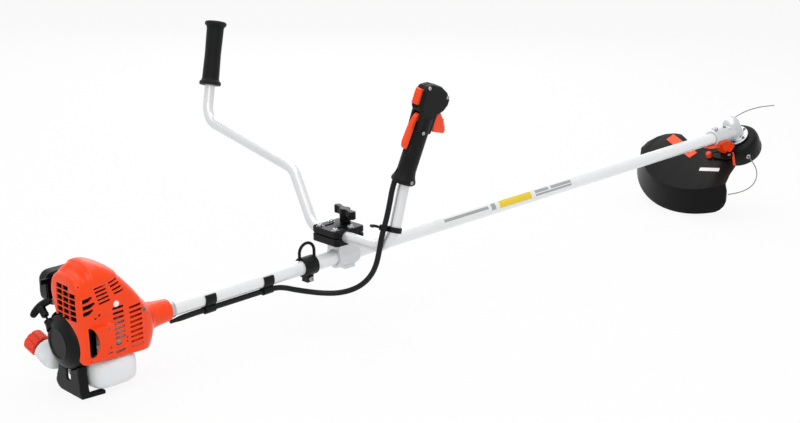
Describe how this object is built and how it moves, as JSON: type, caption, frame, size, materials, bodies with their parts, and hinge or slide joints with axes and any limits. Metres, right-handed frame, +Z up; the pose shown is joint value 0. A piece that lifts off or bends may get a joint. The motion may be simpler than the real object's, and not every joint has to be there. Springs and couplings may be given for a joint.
{
  "type": "string trimmer",
  "caption": "Petrol string trimmer with a straight shaft, a clamped U handlebar with throttle grip, a fan-cooled engine on a stand, a geared line head and a skirted shield.",
  "frame": {"origin": "on the floor, at the centre of the bottom face of the engine stand's foot", "axes": "+X along the machine towards the cutting head, +Z up from the floor, +Y to the left of a user who looks towards the head"},
  "size_m": [1.8986, 0.6289, 0.4662],
  "materials": {
    "housing_orange": "moulded, semi-gloss",
    "trigger_orange": "moulded",
    "black_plastic": "moulded, fine texture",
    "shield_plastic": "moulded",
    "grip_rubber": "soft, ribbed",
    "tube_silver": "pale silver paint",
    "bar_silver": "silver powder coat",
    "cast_metal": "die cast",
    "bright_steel": "zinc plated",
    "dark_steel": "ground and oiled",
    "tank_white": "translucent blow moulding",
    "cap_red": "moulded",
    "bulb_clear": "translucent",
    "fuel_hose": "extruded",
    "line_nylon": "extruded nylon",
    "cable_sheath": "extruded sheath"
  },
  "bodies": {
    "machine": {"air_cleaner_base": "black_plastic", "air_cleaner_cover": "black_plastic", "ball_bearings": "dark_steel", "cable_clips": "black_plastic", "carburettor": "black_plastic", "clamp_bolts": "bright_steel", "clamp_lower": "black_plastic", "clamp_upper": "black_plastic", "collar_ring": "cast_metal", "connecting_rod": "dark_steel", "crankcase": "cast_metal", "cylinder": "cast_metal", "engine_cover": "housing_orange", "engine_stand": "black_plastic", "fan_case": "housing_orange", "fuel_lines": "fuel_hose", "fuel_tank": "tank_white", "gear_case": "cast_metal", "handle_bracket": "cast_metal", "harness_hanger": "black_plastic", "line_knife": "bright_steel", "muffler": "bright_steel", "piston": "cast_metal", "shaft_bushes": "dark_steel", "shaft_tube": "tube_silver", "shield": "shield_plastic", "shield_bracket": "housing_orange", "spark_plug": "dark_steel", "starter_housing": "black_plastic", "starter_rope": "line_nylon", "throttle_cable": "cable_sheath"},
    "handlebar_set": {"handlebar": "bar_silver", "left_grip": "grip_rubber", "throttle_grip_left": "black_plastic", "throttle_grip_right": "black_plastic", "grip_fasteners": "bright_steel"},
    "trigger": {"throttle_trigger": "trigger_orange"},
    "lockout": {"lockout_lever": "black_plastic"},
    "switch": {"stop_switch": "trigger_orange"},
    "clamp_knob": {"wing_knob": "black_plastic"},
    "crank_train": {"crankshaft": "dark_steel", "flywheel_fan": "cast_metal", "clutch_shoes": "dark_steel"},
    "drive_line": {"drive_shaft": "dark_steel", "clutch_drum": "dark_steel", "bevel_pinion": "dark_steel"},
    "cutting_head": {"output_shaft": "dark_steel", "bevel_gear": "dark_steel", "head_drum": "black_plastic", "head_cover": "black_plastic", "line_eyelets": "bright_steel", "cutting_lines": "line_nylon"},
    "bump_feed": {"bump_knob": "black_plastic", "line_spool": "black_plastic"},
    "pull_handle": {"starter_handle": "black_plastic"},
    "rope_pulley": {"starter_pulley": "black_plastic"},
    "choke": {"choke_lever": "black_plastic"},
    "primer": {"purge_bulb": "bulb_clear"},
    "tank_cap": {"fuel_cap": "cap_red"},
    "filter_knob": {"air_cleaner_knob": "black_plastic"}
  },
  "joints": [
    {"name": "handle_tilt", "type": "hinge", "parent": "machine", "child": "handlebar_set", "pos_m": [0.49835, 0, 0.15361], "axis": [0, 1, 0], "range_deg": [-15, 15], "deforming": ["throttle_cable"]},
    {"name": "trigger_squeeze", "type": "hinge", "parent": "handlebar_set", "child": "trigger", "pos_m": [0.56665, -0.15343, 0.37484], "axis": [0.036, 0.9883, 0.148], "range_deg": [0, 15], "stiffness_Nm_per_rad": 0.4, "springref_deg": -20.05},
    {"name": "lockout_press", "type": "hinge", "parent": "handlebar_set", "child": "lockout", "pos_m": [0.53246, -0.15237, 0.37605], "axis": [-0.036, -0.9883, -0.148], "range_deg": [0, 6], "stiffness_Nm_per_rad": 0.5, "springref_deg": -14.32},
    {"name": "stop_switch_slide", "type": "slide", "parent": "handlebar_set", "child": "switch", "axis": [-0.2339, 0.1523, -0.9603], "range_m": [0, 0.006]},
    {"name": "clamp_knob_turn", "type": "hinge", "parent": "machine", "child": "clamp_knob", "pos_m": [0.5244, 0.006, 0.177], "axis": [-0.0595, 0, 0.9982], "continuous": true},
    {"name": "crank_spin", "type": "hinge", "parent": "machine", "child": "crank_train", "pos_m": [0.07495, 0, 0.08711], "axis": [0.9982, 0, 0.0595], "continuous": true},
    {"name": "head_spin", "type": "hinge", "parent": "machine", "child": "cutting_head", "pos_m": [1.71604, 0, 0.18489], "axis": [0.6213, 0, -0.7836], "continuous": true},
    {"name": "drive_spin", "type": "hinge", "parent": "machine", "child": "drive_line", "pos_m": [0.86355, 0, 0.1341], "axis": [0.9982, 0, 0.0595], "continuous": true},
    {"name": "bump_press", "type": "slide", "parent": "cutting_head", "child": "bump_feed", "axis": [-0.6213, 0, 0.7836], "range_m": [0, 0.006], "stiffness_N_per_m": 900, "springref_m": -0.012},
    {"name": "starter_pull", "type": "slide", "parent": "machine", "child": "pull_handle", "axis": [-0.0382, 0.766, 0.6416], "range_m": [0, 0.7], "stiffness_N_per_m": 12, "springref_m": -0.25, "deforming": ["starter_rope"]},
    {"name": "pulley_turn", "type": "hinge", "parent": "machine", "child": "rope_pulley", "pos_m": [-0.02188, 0, 0.08134], "axis": [0.9982, 0, 0.0595], "range_deg": [0, 1520]},
    {"name": "choke_turn", "type": "hinge", "parent": "machine", "child": "choke", "pos_m": [-0.00767, 0.047, 0.16233], "axis": [0, 1, 0], "range_deg": [0, 45]},
    {"name": "primer_press", "type": "slide", "parent": "machine", "child": "primer", "axis": [0.9982, 0, 0.0595], "range_m": [0, 0.003], "stiffness_N_per_m": 400, "springref_m": -0.003},
    {"name": "cap_turn", "type": "hinge", "parent": "machine", "child": "tank_cap", "pos_m": [-0.01722, 0.091, 0.05357], "axis": [-0.2271, 0.8682, 0.4413], "continuous": true},
    {"name": "filter_knob_turn", "type": "hinge", "parent": "machine", "child": "filter_knob", "pos_m": [0.01824, 0.078, 0.14785], "axis": [0, 1, 0], "continuous": true}
  ],
  "couplings": [
    {"joint": "drive_spin", "follows": "head_spin", "ratio": -1.6154},
    {"joint": "pulley_turn", "follows": "starter_pull", "rad_per_m": 37.594}
  ]
}
